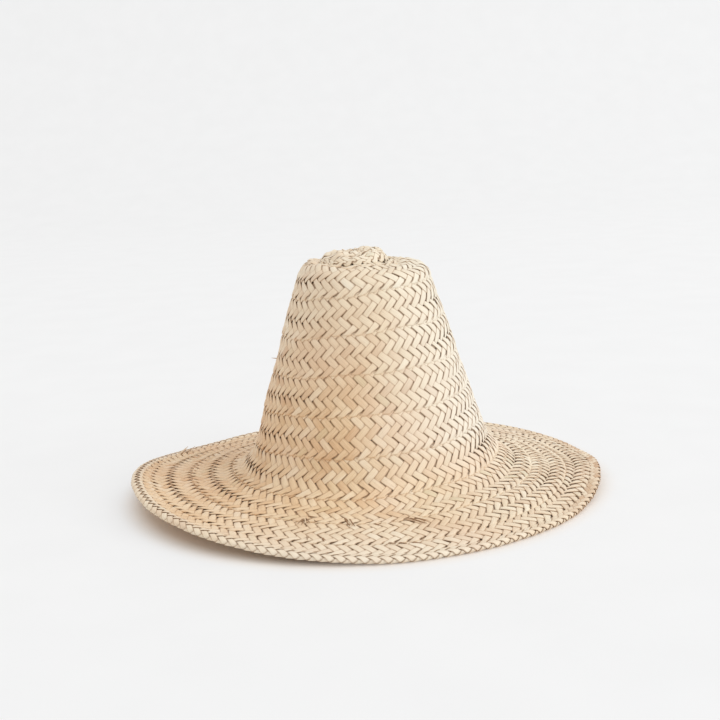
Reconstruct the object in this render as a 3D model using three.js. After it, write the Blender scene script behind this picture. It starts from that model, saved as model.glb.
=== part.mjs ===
// A conical sun hat of plaited palm leaf, standing on its brim: millimetres, +Z up.
// One flat plait winds down the hat in a spiral, from the crown's tip to the rim. Its turns meet edge to
// edge, and a lacing strand inside the hat draws each pair of turns together. A small coil closes the tip
// and a narrow plait finishes the rim. Each full turn of the plait is a solid of its own.
import * as THREE from "three";
import { mergeVertices } from "three/addons/utils/BufferGeometryUtils.js";

// The hat's outer face, from the tip outwards: three straight stretches with a round between each two.
const TIP_HEIGHT = 180;
const SHOULDER_RADIUS = 50;
const SHOULDER_HEIGHT = 173;
const SHOULDER_ROUND = 15;
const HEAD_RADIUS = 97.5;
const HEAD_HEIGHT = 19.5;
const HEAD_ROUND = 35;
const BRIM_RADIUS = 177;
const BRIM_HEIGHT = 4.1;

// The crown stands a little to the right of the brim's centre.
const CROWN_OFFSET = 5.5;

// The plait, and the gap between two solids that touch.
const PLAIT_THICKNESS = 2.4;
const PLAIT_START = 20;
const NARROWEST = 3;
const CROWN_TURNS = 6;
const BRIM_TURNS = 4;
const GAP = 0.3;

// The lacing strands inside the hat.
const LACING_WIDTH = 3;
const LACING_THICKNESS = 0.8;
const LACING_DEPTH = PLAIT_THICKNESS + 0.5;
const LACING_INSET = 2.2;
const LACING_CLEARANCE = 7;

// The coil on the tip, which lies a little to the left of the crown's centre, and the rim's narrow plait.
const COIL_RADIUS = 27;
const COIL_SHIFT = 5;
const COIL_EDGE = 2;
const COIL_FLAT_RADIUS = 20;
const COIL_TOP = 186;
const RIM_WIDTH = 7;
const RIM_THICKNESS = 5;

// Where the rim lifts off the table: centre of each lifted stretch, half its width, and its height.
const LIFTS = [
  { at: -77, half: 60, height: 16.5 },
  { at: -32, half: 42, height: 6 },
  { at: 80, half: 28, height: 6 },
  { at: 185, half: 22, height: 3 },
];
const LIFT_STARTS_AT = 100;

// How finely the curves are cut into flats.
const SIDES = 36;
const COIL_SIDES = 24;
const BEND_PER_STRIP = 22;
const OUTLINE_DIVISIONS = 2000;
const MERGE_DISTANCE = 1e-3;

const STRAW = { color: 0xdcc39a, roughness: 0.72 };
const PALE_STRAW = { color: 0xe2cfae, roughness: 0.74 };
const LEAF_STRAND = { color: 0xcdb184, roughness: 0.8 };

const TAU = 2 * Math.PI;
const radians = THREE.MathUtils.degToRad;
const clamp = THREE.MathUtils.clamp;

// A path through the points, with a round of the given radius at each inner point.
function roundedPath(points, rounds) {
  const path = new THREE.Path();
  path.moveTo(points[0].x, points[0].y);
  rounds.forEach((round, i) => {
    const corner = points[i + 1];
    const before = corner.clone().sub(points[i]).normalize();
    const after = points[i + 2].clone().sub(corner).normalize();
    const side = Math.sign(before.cross(after));
    const reach = round * Math.tan(before.angleTo(after) / 2);
    const start = corner.clone().addScaledVector(before, -reach);
    const end = corner.clone().addScaledVector(after, reach);
    const centre = new THREE.Vector2(-before.y, before.x).multiplyScalar(side * round).add(start);
    path.lineTo(start.x, start.y);
    path.absarc(
      centre.x,
      centre.y,
      round,
      start.sub(centre).angle(),
      end.sub(centre).angle(),
      side < 0,
    );
  });
  const last = points[points.length - 1];
  path.lineTo(last.x, last.y);
  return path;
}

const outline = roundedPath(
  [
    new THREE.Vector2(0, TIP_HEIGHT),
    new THREE.Vector2(SHOULDER_RADIUS, SHOULDER_HEIGHT),
    new THREE.Vector2(HEAD_RADIUS, HEAD_HEIGHT),
    new THREE.Vector2(BRIM_RADIUS, BRIM_HEIGHT),
  ],
  [SHOULDER_ROUND, HEAD_ROUND],
);
outline.arcLengthDivisions = OUTLINE_DIVISIONS;
const PLAIT_END = outline.getLength();
const LAST_TURN = CROWN_TURNS + BRIM_TURNS - 1;
const PLAIT_WIDTH = (PLAIT_END - PLAIT_START) / LAST_TURN;

// The share of the outline that lies above a distance down it, measured from the tip.
const shareAt = (distance) => clamp(distance / PLAIT_END, 0, 1);

// How far the rim stands off the table at an azimuth, which is 0 at the front and grows to the right.
function rimLift(azimuth) {
  let lift = 0;
  for (const { at, half, height } of LIFTS) {
    const turned = THREE.MathUtils.euclideanModulo(azimuth - radians(at) + Math.PI, TAU) - Math.PI;
    const share = Math.min(Math.abs(turned) / radians(half), 1);
    lift += height * Math.cos((share * Math.PI) / 2) ** 2;
  }
  return lift;
}

// The share of the rim's lift that reaches a radius: none on the crown, all of it at the rim.
function liftShare(radius) {
  return clamp((radius - LIFT_STARTS_AT) / (BRIM_RADIUS - LIFT_STARTS_AT), 0, 1) ** 2;
}

// How far right of the brim's centre a circle of the hat lies: the crown's offset fades out over the brim.
function sideShift(radius) {
  return CROWN_OFFSET * (1 - THREE.MathUtils.smoothstep(radius, HEAD_RADIUS, BRIM_RADIUS));
}

// A point of the hat: azimuth, distance down the outline from the tip, and depth below the outer face.
function hatPoint(azimuth, distance, depth) {
  const at = outline.getPointAt(shareAt(distance));
  const down = outline.getTangentAt(shareAt(distance));
  const radius = at.x + down.y * depth;
  const height = at.y - down.x * depth;
  return new THREE.Vector3(
    sideShift(at.x) + radius * Math.sin(azimuth),
    -radius * Math.cos(azimuth),
    height + rimLift(azimuth) * liftShare(at.x),
  );
}

// The geometry with only its positions left, and its shared vertices merged.
function welded(geometry) {
  geometry.deleteAttribute("normal");
  geometry.deleteAttribute("uv");
  return mergeVertices(geometry, MERGE_DISTANCE);
}

// A box bent onto the hat. place() takes the shares along, across and through the box, each 0 to 1.
function bentBox(steps, strips, place) {
  const box = new THREE.BoxGeometry(1, 1, 1, steps, strips, 1);
  const position = box.getAttribute("position");
  for (let i = 0; i < position.count; i += 1) {
    const point = place(position.getX(i) + 0.5, position.getY(i) + 0.5, position.getZ(i) + 0.5);
    position.setXYZ(i, point.x, point.y, point.z);
  }
  return welded(box);
}

// The distance to the seam below the plait: it moves down by the plait's width in each turn.
function seamAt(winding) {
  return clamp(PLAIT_START + (PLAIT_WIDTH * winding) / TAU, PLAIT_START, PLAIT_END);
}

// Strips across a turn: two, and more where the outline bends within it.
function stripsAcross(turn) {
  const start = outline.getTangentAt(shareAt(seamAt(TAU * (turn - 1))));
  const end = outline.getTangentAt(shareAt(seamAt(TAU * (turn + 1))));
  return 2 + Math.ceil(start.angleTo(end) / radians(BEND_PER_STRIP));
}

// One full turn of the plait. It starts at the back and winds down to the left, so the rows rise to the
// right. The first turn grows from its narrow start, and the last one narrows along the rim to its end.
// Turns that meet have their corners at the same azimuths.
function plaitTurn(turn) {
  const narrow = Math.ceil((SIDES * NARROWEST) / PLAIT_WIDTH);
  const first = turn === 0 ? narrow : 0;
  const last = turn === LAST_TURN ? SIDES - narrow : SIDES;
  return bentBox(last - first, stripsAcross(turn), (along, across, through) => {
    const winding = (TAU * (last + (first - last) * along)) / SIDES;
    const upper = seamAt(TAU * (turn - 1) + winding) + GAP / 2;
    const lower = seamAt(TAU * turn + winding) - GAP / 2;
    const distance = lower + (upper - lower) * across;
    const trim = (GAP / 2 / outline.getPointAt(shareAt(distance)).x) * (2 * along - 1);
    return hatPoint(Math.PI - winding - trim, distance, PLAIT_THICKNESS * (1 - through));
  });
}

// A flat strand of leaf under the inner face. lineAt() gives the distance of its middle at a winding.
function innerStrand(first, last, lineAt) {
  return bentBox(SIDES, 1, (along, across, through) => {
    const winding = last + (first - last) * along;
    const distance = lineAt(winding) + LACING_WIDTH * (0.5 - across);
    return hatPoint(Math.PI - winding, distance, LACING_DEPTH + LACING_THICKNESS * (1 - through));
  });
}

const STRAND_SPLIT = GAP / 2 / COIL_RADIUS;

// The lacing of the seam below a turn. It keeps clear of the strands at the tip and along the rim.
function seamLacing(turn) {
  const clear = (TAU * LACING_CLEARANCE) / PLAIT_WIDTH;
  const first = turn === 0 ? clear : STRAND_SPLIT;
  const last = turn === LAST_TURN - 1 ? TAU - clear : TAU - STRAND_SPLIT;
  return innerStrand(first, last, (winding) => seamAt(TAU * turn + winding));
}

// A strand that runs once round the hat at one distance, where it holds the coil or the rim's plait.
function ringLacing(distance) {
  return innerStrand(STRAND_SPLIT, TAU - STRAND_SPLIT, () => distance);
}

// A solid turned about the vertical axis. The profile closes on itself, or starts and ends on the axis.
function turned(profile, sides) {
  const points = profile.map(([radius, height]) => new THREE.Vector2(radius, height));
  const lathe = new THREE.LatheGeometry(points, sides);
  lathe.rotateX(Math.PI / 2);
  return welded(lathe);
}

// The small coil of plait that lies on the crown's tip and covers the hole there.
function tipCoil() {
  const slope = (TIP_HEIGHT - SHOULDER_HEIGHT) / SHOULDER_RADIUS;
  const base = TIP_HEIGHT + GAP + slope * COIL_SHIFT;
  const edge = base - slope * COIL_RADIUS;
  const profile = [
    [0, base],
    [COIL_RADIUS, edge],
    [COIL_RADIUS, edge + COIL_EDGE],
    [COIL_FLAT_RADIUS, COIL_TOP],
    [0, COIL_TOP],
  ];
  return turned(profile, COIL_SIDES).translate(CROWN_OFFSET - COIL_SHIFT, 0, 0);
}

// The narrow plait round the rim. Its underside is flat, and rests on the table between the lifts.
function rimPlait() {
  const inner = BRIM_RADIUS + GAP;
  const outer = inner + RIM_WIDTH;
  const profile = [
    [inner, 0],
    [outer, 0],
    [outer, RIM_THICKNESS],
    [inner, RIM_THICKNESS],
    [inner, 0],
  ];
  const rim = turned(profile, SIDES);
  const position = rim.getAttribute("position");
  for (let i = 0; i < position.count; i += 1) {
    const azimuth = Math.atan2(position.getX(i), -position.getY(i));
    position.setZ(i, position.getZ(i) + rimLift(azimuth));
  }
  return rim;
}

const hat = new THREE.Group();
hat.name = "conical_hat";

function addPiece(name, geometry, finish) {
  geometry.computeVertexNormals();
  const mesh = new THREE.Mesh(geometry, new THREE.MeshStandardMaterial({ ...finish, metalness: 0 }));
  mesh.name = name;
  hat.add(mesh);
}

// The turns down to the head opening are the crown's, and the others the brim's.
for (let turn = 0; turn <= LAST_TURN; turn += 1) {
  const place = turn < CROWN_TURNS ? "crown" : "brim";
  const number = turn < CROWN_TURNS ? turn + 1 : turn - CROWN_TURNS + 1;
  addPiece(`${place}_plait_turn_${number}`, plaitTurn(turn), STRAW);
  if (turn < LAST_TURN) {
    addPiece(`${place}_seam_lacing_${number}`, seamLacing(turn), LEAF_STRAND);
  }
}

addPiece("tip_coil", tipCoil(), PALE_STRAW);
addPiece("tip_lacing", ringLacing(PLAIT_START + LACING_INSET), LEAF_STRAND);
addPiece("rim_plait", rimPlait(), PALE_STRAW);
addPiece("rim_lacing", ringLacing(PLAIT_END - LACING_INSET), LEAF_STRAND);

export default hat;
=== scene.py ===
import math

import bpy
import numpy as np
from mathutils import Matrix, Vector

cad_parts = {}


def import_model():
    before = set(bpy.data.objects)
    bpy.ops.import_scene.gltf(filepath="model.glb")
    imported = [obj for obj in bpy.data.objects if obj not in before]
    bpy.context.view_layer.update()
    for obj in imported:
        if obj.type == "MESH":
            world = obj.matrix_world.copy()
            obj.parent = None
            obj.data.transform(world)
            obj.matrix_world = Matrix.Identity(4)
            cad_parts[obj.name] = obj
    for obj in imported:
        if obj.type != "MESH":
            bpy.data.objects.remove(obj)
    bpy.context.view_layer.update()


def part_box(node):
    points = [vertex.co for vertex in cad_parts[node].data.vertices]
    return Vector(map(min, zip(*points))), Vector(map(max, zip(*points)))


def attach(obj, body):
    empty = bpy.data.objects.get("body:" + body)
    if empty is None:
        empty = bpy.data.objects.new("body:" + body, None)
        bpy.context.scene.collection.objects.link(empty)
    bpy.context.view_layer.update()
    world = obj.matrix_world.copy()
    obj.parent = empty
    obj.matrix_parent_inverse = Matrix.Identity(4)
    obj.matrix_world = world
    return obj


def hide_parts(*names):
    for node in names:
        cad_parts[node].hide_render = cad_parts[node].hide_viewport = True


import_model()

# A plaited palm-leaf sun hat. Lengths are in millimetres until a mesh is made, which is in metres.
# Azimuth is 0 at the front (-Y) and grows to the right. The plait winds from the tip to the rim: its
# winding angle is 0 at the back, and grows round the right, the front and the left.
MM = 0.001
TAU = 2 * math.pi
rng = np.random.default_rng(11)

# ---------------------------------------------------------------------------------------------------
# The hat's shape. The driving dimensions are the CAD model's, and the frame gives the rim's and the coil's.
# A lifted stretch of the rim is its middle (degrees), half its width (degrees) and its height.

TIP_HEIGHT = 180.0
SHOULDER = (50.0, 173.0)
SHOULDER_ROUND = 15.0
HEAD = (97.5, 19.5)
HEAD_ROUND = 35.0
BRIM = (177.0, 4.1)
CROWN_OFFSET = 5.5
LIFT_STARTS_AT = 100.0
LIFTS = ((-77, 60, 16.5), (-32, 42, 6.0), (80, 28, 6.0), (185, 22, 3.0))
PLAIT_THICKNESS = 2.4
PLAIT_START = 20.0
CROWN_TURNS = 6
BRIM_TURNS = 4
LAST_TURN = CROWN_TURNS + BRIM_TURNS - 1


def node_box(name):
    """A CAD node's lowest and highest corners in millimetres."""
    low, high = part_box(name)
    return np.array(low) / MM, np.array(high) / MM


RIM_LOW, RIM_HIGH = node_box("rim_plait")
COIL_LOW, COIL_HIGH = node_box("tip_coil")
RIM_OUTER = (RIM_HIGH[0] - RIM_LOW[0]) / 2
COIL_RADIUS = (COIL_HIGH[0] - COIL_LOW[0]) / 2
COIL_CENTRE = (COIL_HIGH[0] + COIL_LOW[0]) / 2


def rounded_path(points, rounds, step=0.25):
    """Points every step along a path of straight stretches, with a round at each inner corner."""
    pts = [np.array(p, float) for p in points]
    out = [pts[0]]

    def line_to(end):
        n = max(int(np.linalg.norm(end - out[-1]) / step), 1)
        begin = out[-1]
        out.extend(begin + (end - begin) * k / n for k in range(1, n + 1))

    for i, radius in enumerate(rounds):
        corner = pts[i + 1]
        before = (corner - pts[i]) / np.linalg.norm(corner - pts[i])
        after = (pts[i + 2] - corner) / np.linalg.norm(pts[i + 2] - corner)
        side = np.sign(before[0] * after[1] - before[1] * after[0])
        bend = math.acos(float(before @ after))
        reach = radius * math.tan(bend / 2)
        line_to(corner - before * reach)
        centre = out[-1] + side * radius * np.array([-before[1], before[0]])
        spoke = out[-1] - centre
        n = max(int(radius * bend / step), 2)
        for k in range(1, n + 1):
            a = side * bend * k / n
            turn = np.array([[math.cos(a), -math.sin(a)], [math.sin(a), math.cos(a)]])
            out.append(centre + turn @ spoke)
    line_to(pts[-1])
    return np.array(out)


OUTLINE = rounded_path([(0, TIP_HEIGHT), SHOULDER, HEAD, BRIM], [SHOULDER_ROUND, HEAD_ROUND])
OUTLINE_AT = np.concatenate([[0], np.cumsum(np.linalg.norm(np.diff(OUTLINE, axis=0), axis=1))])
DOWN = np.gradient(OUTLINE, OUTLINE_AT, axis=0)
DOWN /= np.linalg.norm(DOWN, axis=1)[:, None]
PLAIT_END = OUTLINE_AT[-1]
PLAIT_WIDTH = (PLAIT_END - PLAIT_START) / LAST_TURN

# Uneven places: each row is a height, the waves round the hat, the turn per millimetre and the start.
SURFACE_WAVES = ((0.45, 3, 0.045, 0.6), (0.35, 5, -0.07, 2.1), (0.3, 8, 0.11, 4.0))
TOP_WAVES = ((0.6, 7, 0.5, 0.0), (0.5, 13, -0.3, 1.0))
SWAY_WAVES = ((0.8, 3, 0.035, 1.0), (0.6, 7, -0.05, 0.0))
RIM_WAVES = ((0.21, 7, 0.0, 1.3), (0.18, 17, 0.0, 0.0), (0.12, 41, 0.0, 0.0))
LUMP_HEIGHT = 4.2
TOP_REACH = 35.0
LUMP_AT = 40.0
LUMP_SPREAD = 64.0
CALM_NEAR_RIM = 45.0


def smooth(x):
    x = np.clip(x, 0, 1)
    return x * x * (3 - 2 * x)


def ease(value, start, end):
    """0 at the start and before it, 1 at the end and beyond, and smooth between."""
    return smooth((value - start) / (end - start))


def hump(value, centre, spread):
    """A bell curve, 1 at its centre."""
    return np.exp(-((value - centre) ** 2) / spread)


def waves(rows, azimuth, distance=0.0):
    """The sum of the rows' sines."""
    return sum(h * np.sin(count * azimuth + turn * distance + start) for h, count, turn, start in rows)


def rim_lift(azimuth):
    """How far the rim stands off the table."""
    lift = np.zeros_like(azimuth)
    for at, half, height in LIFTS:
        turned = (azimuth - math.radians(at) + math.pi) % TAU - math.pi
        share = np.minimum(np.abs(turned) / math.radians(half), 1)
        lift = lift + height * np.cos(share * math.pi / 2) ** 2
    return lift


def wobble(azimuth, distance):
    """The hand-made unevenness, in millimetres: waves all over, more of them on top, a lump at the left."""
    all_over = waves(SURFACE_WAVES, azimuth, distance) * ease(distance, 0, LUMP_AT)
    calm = 1 - 0.8 * ease(distance, PLAIT_END - CALM_NEAR_RIM, PLAIT_END)
    on_top = waves(TOP_WAVES, azimuth, distance) * ease(distance, TOP_REACH + 20, TOP_REACH)
    lump = hump(distance, LUMP_AT, LUMP_SPREAD) * np.exp(-2 * (np.sin(azimuth) + 1))
    return all_over * calm + on_top + LUMP_HEIGHT * lump


def sway(azimuth, distance):
    """How far the plait wanders down the hat from its even spiral."""
    below_top = ease(distance, TOP_REACH, TOP_REACH + 30)
    before_rim = ease(distance, PLAIT_END - 10, PLAIT_END - CALM_NEAR_RIM)
    return waves(SWAY_WAVES, azimuth, distance) * below_top * before_rim


def hat_point(azimuth, distance, height):
    """Points of the hat: height is measured outwards from the middle of the plait's thickness."""
    s = np.clip(distance, 0, PLAIT_END)
    radius = np.interp(s, OUTLINE_AT, OUTLINE[:, 0])
    level = np.interp(s, OUTLINE_AT, OUTLINE[:, 1])
    down_r = np.interp(s, OUTLINE_AT, DOWN[:, 0])
    down_z = np.interp(s, OUTLINE_AT, DOWN[:, 1])
    beyond = distance - s
    out = height - PLAIT_THICKNESS / 2 + wobble(azimuth, s)
    r = radius - down_z * out + down_r * beyond
    z = level + down_r * out + down_z * beyond
    lift = np.clip((radius - LIFT_STARTS_AT) / (BRIM[0] - LIFT_STARTS_AT), 0, 1) ** 2
    shift = CROWN_OFFSET * (1 - ease(radius, HEAD[0], BRIM[0]))
    return np.stack(
        [
            shift + r * np.sin(azimuth),
            -r * np.cos(azimuth),
            z + rim_lift(azimuth) * lift,
        ],
        axis=-1,
    )


# ---------------------------------------------------------------------------------------------------
# The plait. Strips cross at 45 degrees in a 2/2 twill. A strip of family A runs with its own index i
# fixed, a strip of family B with j fixed, and cell = i - j counts the crossings across the plait.
# A strip's drift is sideways, in cells. Its lift is in millimetres, and its swell is a share of its arch.
# Near the plait's edges family B lies higher by the edge step, and family A lower, so the folds stay open.

TWIST = -0.35
WEAVE_HEIGHT = 0.47
WEAVE_STEEPNESS = 1.3
STRIP_THICKNESS = 0.34
CAMBER = 0.3
PINCH = 0.05
EDGE_INSET = 0.45
EDGE_STEP = 0.12
EDGE_SPREAD = 0.64
MITRE_WIDTH = 0.94
SMALLEST_FOLD = 0.2
DRIFT = 0.08
LIFT = 0.1
SWELL = (0.8, 1.25)
TINT_SPREAD = 0.55
COLUMNS = np.array([-1.0, -0.5, 0.5, 1.0])
FOLD_ANGLES = np.radians([-45.0, 0.0, 45.0])


def over_under(cell):
    """The height of an A strip where it crosses this cell: above at 1 and 2, below at 3 and 4."""
    wave = np.sin(math.pi / 2 * (cell - 0.5))
    return WEAVE_HEIGHT * np.tanh(WEAVE_STEEPNESS * wave) / math.tanh(WEAVE_STEEPNESS)


def traverse(family, index, cells, half_width, drift, rows_per_cell, puff):
    """One strip from edge to edge: its two lattice coordinates and height, by row and column."""
    straight = np.arange((cells - 1) * rows_per_cell + 1) / rows_per_cell
    mitre = np.array([0.0, 1 / 3, 2 / 3])
    n_mitre = len(mitre)
    rows = len(straight) + 2 * n_mitre
    along = np.empty((rows, len(COLUMNS)))
    nominal = COLUMNS * 0.5 * MITRE_WIDTH
    if family == "A":
        first = index + nominal - cells
        last = index + nominal
    else:
        first = index + nominal
        last = index + nominal + cells
    begin = index + 0.5 - (cells if family == "A" else 0)
    finish = begin + cells - 1
    along[:n_mitre] = first + mitre[:, None] * (begin - first)
    along[n_mitre : n_mitre + len(straight)] = (begin + straight)[:, None]
    along[n_mitre + len(straight) :] = finish + (1 - mitre[::-1, None]) * (last - finish)
    share = np.linspace(0, 1, rows)[:, None]
    cell_middle = np.abs(index - along) if family == "A" else np.abs(along - index)
    half = half_width(np.clip(cell_middle, 0, cells))
    level = over_under(cell_middle) / WEAVE_HEIGHT
    half = half * (1 - PINCH * puff * (1 - level**2))
    offset = COLUMNS * half + drift[0] + (drift[1] - drift[0]) * share
    own = index + offset
    if family == "A":
        i, j = own, along
        cell_own = index + TWIST * offset - along
        height = over_under(cell_own)
    else:
        i, j = along, own
        cell_own = along - index - TWIST * offset
        height = -over_under(cell_own)
    cell = i - j
    near_edge = hump(cell, 0, EDGE_SPREAD) + hump(cell, cells, EDGE_SPREAD)
    height = height * puff + (EDGE_STEP if family == "B" else -EDGE_STEP) * near_edge
    camber = CAMBER * puff * COLUMNS**2 * smooth(np.abs(height) / WEAVE_HEIGHT)
    return i, j, height - np.where(height > 0, camber, 0)


def chain_rows(chain, cells, pitch, band, widths, puff, rows_per_cell=4):
    """The rows of one strand that zigzags through a chain of traverses, folded over at each edge.

    Gives x along the band, y across it, height, the direction of the strand's one face in (y, height),
    the traverse that each row belongs to, and the distance along the strand.
    """
    parts = []
    scale_y = (band - 2 * EDGE_INSET) / cells
    for number, (family, index) in enumerate(chain):
        drift = rng.uniform(-DRIFT, DRIFT, 2)
        lift = rng.uniform(-LIFT, LIFT, 2)
        swell = puff(family, index) * rng.uniform(*SWELL)
        half_width = widths(family, index)
        i, j, height = traverse(family, index, cells, half_width, drift, rows_per_cell, swell)
        x = (i + j) * pitch / 2
        y = EDGE_INSET + (i - j) * scale_y
        share = np.linspace(0, 1, len(x))[:, None]
        height = height + lift[0] + (lift[1] - lift[0]) * share
        facing = np.ones_like(x) if family == "A" else -np.ones_like(x)
        if parts:
            before = parts[-1]
            ax, ay, az = before[0][-1], before[1][-1], before[2][-1]
            top_edge = family == "B"
            mid = (az + height[0]) / 2
            radius = np.maximum(np.abs(height[0] - az) / 2, SMALLEST_FOLD)
            rows = []
            for step, angle in enumerate(FOLD_ANGLES if top_edge else -FOLD_ANGLES):
                share = (step + 1) / (len(FOLD_ANGLES) + 1)
                edge_y = ay + (y[0] - ay) * share
                out = -1 if top_edge else 1
                rows.append(
                    (
                        ax + (x[0] - ax) * share,
                        edge_y + out * radius * math.cos(angle),
                        mid + radius * math.sin(angle),
                        np.full_like(ax, -out * math.cos(angle)),
                        np.full_like(ax, -math.sin(angle)),
                    )
                )
            fold = [np.stack(values) for values in zip(*rows)]
            parts.append((*fold, np.full(len(rows), number - 1)))
        parts.append((x, y, height, np.zeros_like(x), facing, np.full(len(x), number)))
    x, y, height, face_y, face_z = (np.concatenate([p[k] for p in parts]) for k in range(5))
    member = np.concatenate([p[5] for p in parts])
    centre = np.stack([x.mean(1), y.mean(1)], axis=1)
    steps = np.linalg.norm(np.diff(centre, axis=0), axis=1)
    run = np.concatenate([[0], np.cumsum(steps)])
    return x, y, height, face_y, face_z, member, run


# Where each vertex of a strand's section lies round it, as a share of the way, for the baked map.
ROUND_SHARE = np.array([0.0, 0.13, 0.34, 0.47, 0.5, 0.63, 0.84, 0.97, 1.0])
CAP_UV = np.array([[0, 0], [0, 0.01], [0.004, 0.01], [0.004, 0]])

# The baked map is cut into tiles, one for each stretch of strip: how much taller than wide, and its margin.
TILE_SHAPE = 3.7
TILE_MARGIN = 0.03


def ribbon_object(name, ribbons, material, strip_width):
    """One mesh of many ribbons. Each has front and back points (rows, 4, 3), the stretch that each row is
    in, its distance along, its tint (rows, 4), the painted shade of both faces for lying deep (rows, 8),
    and if it is closed.
    """
    verts, quads, tile_of, local_u, across, along, tint = [], [], [], [], [], [], []
    base = 0
    tile_base = 0
    ring = 2 * len(COLUMNS)
    for front, back, member, run, tints, depth, closed in ribbons:
        rows = len(front)
        verts.append(np.concatenate([front, back[:, ::-1]], axis=1).reshape(-1, 3))
        spans = rows if closed else rows - 1
        r = np.arange(spans)[:, None]
        r_next = (r + 1) % rows
        c = np.arange(ring)[None, :]
        c_next = (c + 1) % ring
        q = np.stack([r * ring + c, r * ring + c_next, r_next * ring + c_next, r_next * ring + c], axis=-1)
        quads.append(base + q.reshape(-1, 4))
        members = member[:spans]
        starts = np.concatenate([[0], np.nonzero(np.diff(members))[0] + 1])
        counts = np.diff(np.concatenate([starts, [spans]]))
        step = np.repeat(1 / counts, counts)
        local = (np.arange(spans) - np.repeat(starts, counts)) * step
        tile_of.append(np.repeat(tile_base + np.repeat(np.arange(len(starts)), counts), ring))
        u0 = np.repeat(local, ring)
        u1 = np.repeat(local + step, ring)
        v0 = np.tile(ROUND_SHARE[:-1], spans)
        v1 = np.tile(ROUND_SHARE[1:], spans)
        local_u.append(np.stack([u0, v0, u0, v1, u1, v1, u1, v0], axis=1).reshape(-1, 4, 2))
        if not closed:
            caps = []
            for row in (0, rows - 1):
                o = row * ring
                for k in range(len(COLUMNS) - 1):
                    cap = [o + k, o + ring - 1 - k, o + ring - 2 - k, o + k + 1]
                    caps.append(cap[::-1] if row else cap)
            quads.append(base + np.array(caps))
            tile_of.append(np.repeat((tile_base, tile_base + len(starts) - 1), len(COLUMNS) - 1))
            local_u.append(np.tile(CAP_UV, (len(caps), 1, 1)))
        tile_base += len(starts)
        across.append(np.tile(np.concatenate([COLUMNS, COLUMNS[::-1]]) * 0.5 * strip_width, rows))
        along.append(np.repeat(run, ring))
        shades = np.repeat(tints, ring, axis=0)
        # The tint's alpha carries the painted shade for lying deep in the weave.
        shades[:, 3] = depth.ravel()
        tint.append(shades)
        base += rows * ring
    verts = np.concatenate(verts) * MM
    quads = np.concatenate(quads)
    tile_of = np.concatenate(tile_of)
    local_u = np.concatenate(local_u)
    across = np.concatenate(across)
    along = np.concatenate(along)
    tint = np.concatenate(tint)

    mesh = bpy.data.meshes.new(name)
    mesh.vertices.add(len(verts))
    mesh.vertices.foreach_set("co", verts.astype(np.float32).ravel())
    mesh.loops.add(quads.size)
    mesh.loops.foreach_set("vertex_index", quads.astype(np.int32).ravel())
    mesh.polygons.add(len(quads))
    mesh.polygons.foreach_set("loop_start", np.arange(0, quads.size, 4, dtype=np.int32))
    mesh.update(calc_edges=True)

    strand = mesh.uv_layers.new(name="strand")
    flat = quads.ravel()
    strand.data.foreach_set("uv", np.stack([across[flat], along[flat]], 1).astype(np.float32).ravel())
    columns = max(int(math.sqrt(tile_base / TILE_SHAPE)), 1)
    lines = -(-tile_base // columns)
    place = np.stack([tile_of % columns, tile_of // columns], axis=1)[:, None, :]
    baked = (place + TILE_MARGIN + (1 - 2 * TILE_MARGIN) * local_u) / np.array([columns, lines])
    bake = mesh.uv_layers.new(name="OFBake")
    bake.data.foreach_set("uv", baked.astype(np.float32).ravel())
    mesh.uv_layers.active = strand

    colour = mesh.attributes.new("tint", "FLOAT_COLOR", "POINT")
    colour.data.foreach_set("color", tint.astype(np.float32).ravel())
    pairs = np.empty(len(mesh.edges) * 2, np.int32)
    mesh.edges.foreach_get("vertices", pairs)
    column = pairs.reshape(-1, 2) % ring
    corner = np.isin(column[:, 0], (0, len(COLUMNS) - 1, len(COLUMNS), ring - 1))
    sharp = (column[:, 0] == column[:, 1]) & corner
    mesh.attributes.new("sharp_edge", "BOOLEAN", "EDGE").data.foreach_set("value", sharp)
    mesh.polygons.foreach_set("use_smooth", np.ones(len(quads), bool))
    mesh.materials.append(material)
    piece = bpy.data.objects.new(name, mesh)
    bpy.context.scene.collection.objects.link(piece)
    return piece


def tints_of(own, count, spread=TINT_SPREAD):
    """The tints of a strand's stretches: shade, hue and stain, each 0 to 1, round the strand's own."""
    tints = np.ones((count, 4))
    tints[:, :3] = (1 - spread) * own + spread * rng.uniform(0, 1, (count, 3))
    return tints


def depths(height, facing):
    """How deep in the weave both faces of a strip lie, from 0 to 1, front then back, round the section."""
    level = height * facing / WEAVE_HEIGHT
    return np.concatenate([smooth(-level), smooth(level)[:, ::-1]], axis=1)


def woven(turn_range, cells, pitch, band, place, widths, puff, painted_shade_at):
    """The ribbons of a flat plait over a range of x: place() puts (x, y, height) on the hat.

    For each traverse, widths() and puff() give how wide and how arched it is. The last function gives how
    much painted shade the depth in the weave lays on the leaf at a place on the band.
    """
    begin, end = turn_range
    ribbons = []
    for strand in range(cells):
        own = rng.uniform(0, 1, 3)
        first = strand + cells * math.floor(begin / pitch / cells - 2)
        last = end / pitch + cells
        chain = []
        index = first
        while index <= last:
            for family, middle in (("A", index - cells / 4), ("B", index + cells / 4)):
                if begin <= middle * pitch < end:
                    chain.append((family, index))
            index += cells
        if not chain:
            continue
        x, y, height, face_y, face_z, member, run = chain_rows(
            chain, cells, pitch, band, widths, puff
        )
        tints = tints_of(own, len(chain))
        half = STRIP_THICKNESS / 2
        front = place(x, y + face_y * half, height + face_z * half)
        back = place(x, y - face_y * half, height - face_z * half)
        # Painted shade for lying deep in the weave, scaled by the place on the band.
        depth = depths(height, face_z) * painted_shade_at(x[:, :1], y[:, :1])
        ribbons.append((front, back, member, run, tints[member], depth, False))
    return ribbons


# ---------------------------------------------------------------------------------------------------
# The main plait: four rows of floats, eight strands.

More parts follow.
